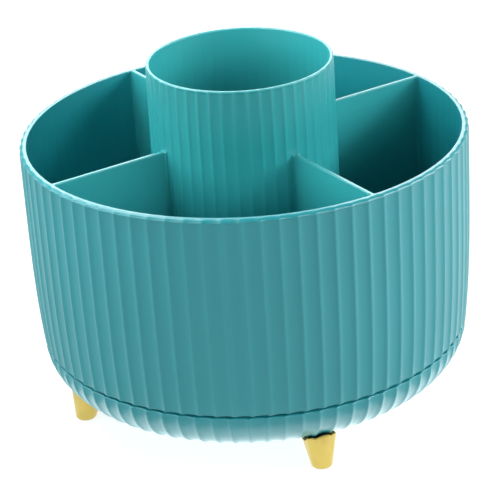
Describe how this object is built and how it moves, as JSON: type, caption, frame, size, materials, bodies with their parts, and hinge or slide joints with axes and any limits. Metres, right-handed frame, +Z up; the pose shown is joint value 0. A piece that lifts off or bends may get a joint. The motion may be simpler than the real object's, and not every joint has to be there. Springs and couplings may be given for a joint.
{
  "type": "rotating makeup brush holder",
  "caption": "Round fluted desk organiser that turns on a ball bearing over a low tray with small feet: a tall centre cup and open compartments between flat dividers.",
  "frame": {"origin": "centre of the footprint, on the surface that the four feet stand on", "axes": "+Z up along the axis that the tub turns about; at rest the dividers lie along X and Y"},
  "size_m": [0.16, 0.16, 0.1288],
  "materials": {
    "teal_plastic": "satin moulded plastic",
    "gold_plating": "bright pale gold plating on plastic",
    "zinc_screw": "bright zinc plating",
    "ball_steel": "polished",
    "bearing_plastic": "white low-friction plastic"
  },
  "bodies": {
    "base": {"base_tray": "teal_plastic", "lower_race": "bearing_plastic", "foot_1": "gold_plating", "foot_2": "gold_plating", "foot_3": "gold_plating", "foot_4": "gold_plating", "foot_screw_1": "zinc_screw", "foot_screw_2": "zinc_screw", "foot_screw_3": "zinc_screw", "foot_screw_4": "zinc_screw"},
    "carousel": {"fluted_tub": "teal_plastic", "centre_cup": "teal_plastic", "divider_1": "teal_plastic", "divider_2": "teal_plastic", "divider_3": "teal_plastic", "divider_4": "teal_plastic", "upper_race": "bearing_plastic", "pivot_screw": "zinc_screw", "pivot_washer": "zinc_screw"},
    "ball_carrier": {"ball_cage": "bearing_plastic", "ball_01": "ball_steel", "ball_02": "ball_steel", "ball_03": "ball_steel", "ball_04": "ball_steel", "ball_05": "ball_steel", "ball_06": "ball_steel", "ball_07": "ball_steel", "ball_08": "ball_steel", "ball_09": "ball_steel", "ball_10": "ball_steel", "ball_11": "ball_steel", "ball_12": "ball_steel"}
  },
  "joints": [
    {"name": "carousel_spin", "type": "hinge", "parent": "base", "child": "carousel", "pos_m": [0, 0, 0.019], "axis": [0, 0, 1], "continuous": true},
    {"name": "cage_spin", "type": "hinge", "parent": "base", "child": "ball_carrier", "pos_m": [0, 0, 0.019], "axis": [0, 0, 1], "continuous": true}
  ],
  "couplings": [
    {"joint": "cage_spin", "follows": "carousel_spin", "ratio": 0.5}
  ]
}
